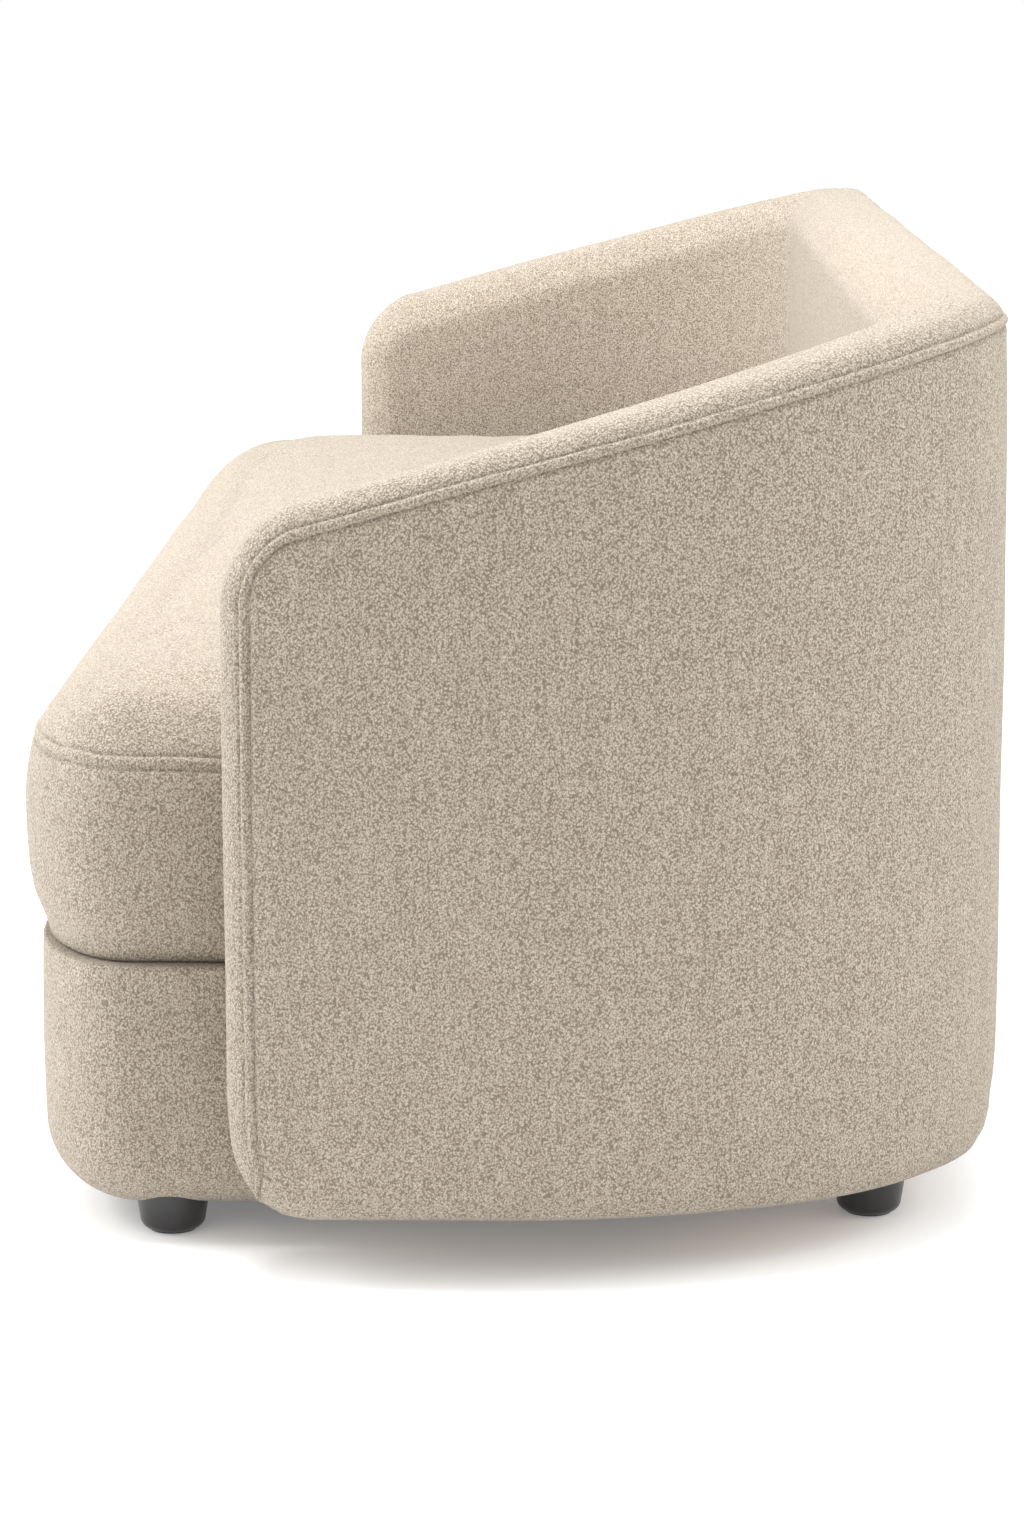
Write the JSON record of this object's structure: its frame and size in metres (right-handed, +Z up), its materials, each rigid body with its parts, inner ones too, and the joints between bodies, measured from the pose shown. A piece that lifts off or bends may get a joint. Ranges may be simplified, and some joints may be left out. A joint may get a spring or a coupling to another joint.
{
  "type": "upholstered sofa",
  "caption": "Low upholstered sofa with a wrap-round shell of sloping arms and back, one long loose seat cushion on a plinth, and low round black wooden feet.",
  "frame": {"origin": "middle of the bounding box's base, on the floor", "axes": "+X along the seat, -Y towards the front, +Z up"},
  "size_m": [2, 0.777, 0.731],
  "materials": {
    "boucle": "looped oat boucle",
    "black_cloth": "plain woven cloth",
    "wadding": "soft fibre wadding",
    "foam": "open-cell upholstery foam",
    "black_wood": "turned hardwood, black stain, satin lacquer",
    "steel": "zinc plated",
    "plywood": "bent plywood",
    "webbing": "elastic webbing",
    "zip_tape": "nylon coil zip on woven tape",
    "timber": "planed softwood"
  },
  "bodies": {
    "sofa_body": {"outside_cover": "boucle", "inside_cover": "boucle", "back_foam": "foam", "outside_wadding": "wadding", "right_arm_foam": "foam", "left_arm_foam": "foam", "right_corner_foam": "foam", "left_corner_foam": "foam", "right_arm_front_pad": "foam", "left_arm_front_pad": "foam", "right_arm_panel": "plywood", "left_arm_panel": "plywood", "right_corner_panel": "plywood", "left_corner_panel": "plywood", "right_arm_top_rail": "timber", "left_arm_top_rail": "timber", "right_arm_bottom_rail": "timber", "left_arm_bottom_rail": "timber", "right_arm_front_post": "timber", "left_arm_front_post": "timber", "right_corner_post": "timber", "left_corner_post": "timber", "back_panel": "plywood", "back_top_rail": "timber", "back_bottom_rail": "timber", "back_centre_post": "timber", "right_front_foot": "black_wood", "right_front_foot_bolt": "steel", "right_rear_foot": "black_wood", "right_rear_foot_bolt": "steel", "left_front_foot": "black_wood", "left_front_foot_bolt": "steel", "left_rear_foot": "black_wood", "left_rear_foot_bolt": "steel", "right_front_corner_block": "timber", "left_front_corner_block": "timber", "right_rear_gusset": "timber", "left_rear_gusset": "timber", "right_side_rail": "timber", "left_side_rail": "timber", "right_cross_member": "timber", "left_cross_member": "timber", "front_rail": "timber", "rear_rail": "timber", "seat_strap_1": "webbing", "seat_strap_2": "webbing", "seat_strap_3": "webbing", "seat_strap_4": "webbing", "deck_pad": "foam", "deck_cloth": "black_cloth", "plinth_cover": "boucle", "plinth_padding": "foam", "dust_cover": "black_cloth"},
    "seat_cushion": {"cushion_cover": "boucle", "cushion_foam": "foam", "cushion_zip": "zip_tape"},
    "zip_slider": {"zip_slider": "steel"}
  },
  "joints": [
    {"name": "seat_cushion_lift", "type": "slide", "parent": "sofa_body", "child": "seat_cushion", "axis": [0, 0, 1], "range_m": [0, 0.4]},
    {"name": "zip_pull", "type": "slide", "parent": "seat_cushion", "child": "zip_slider", "axis": [-1, 0, 0], "range_m": [0, 0.96]}
  ]
}
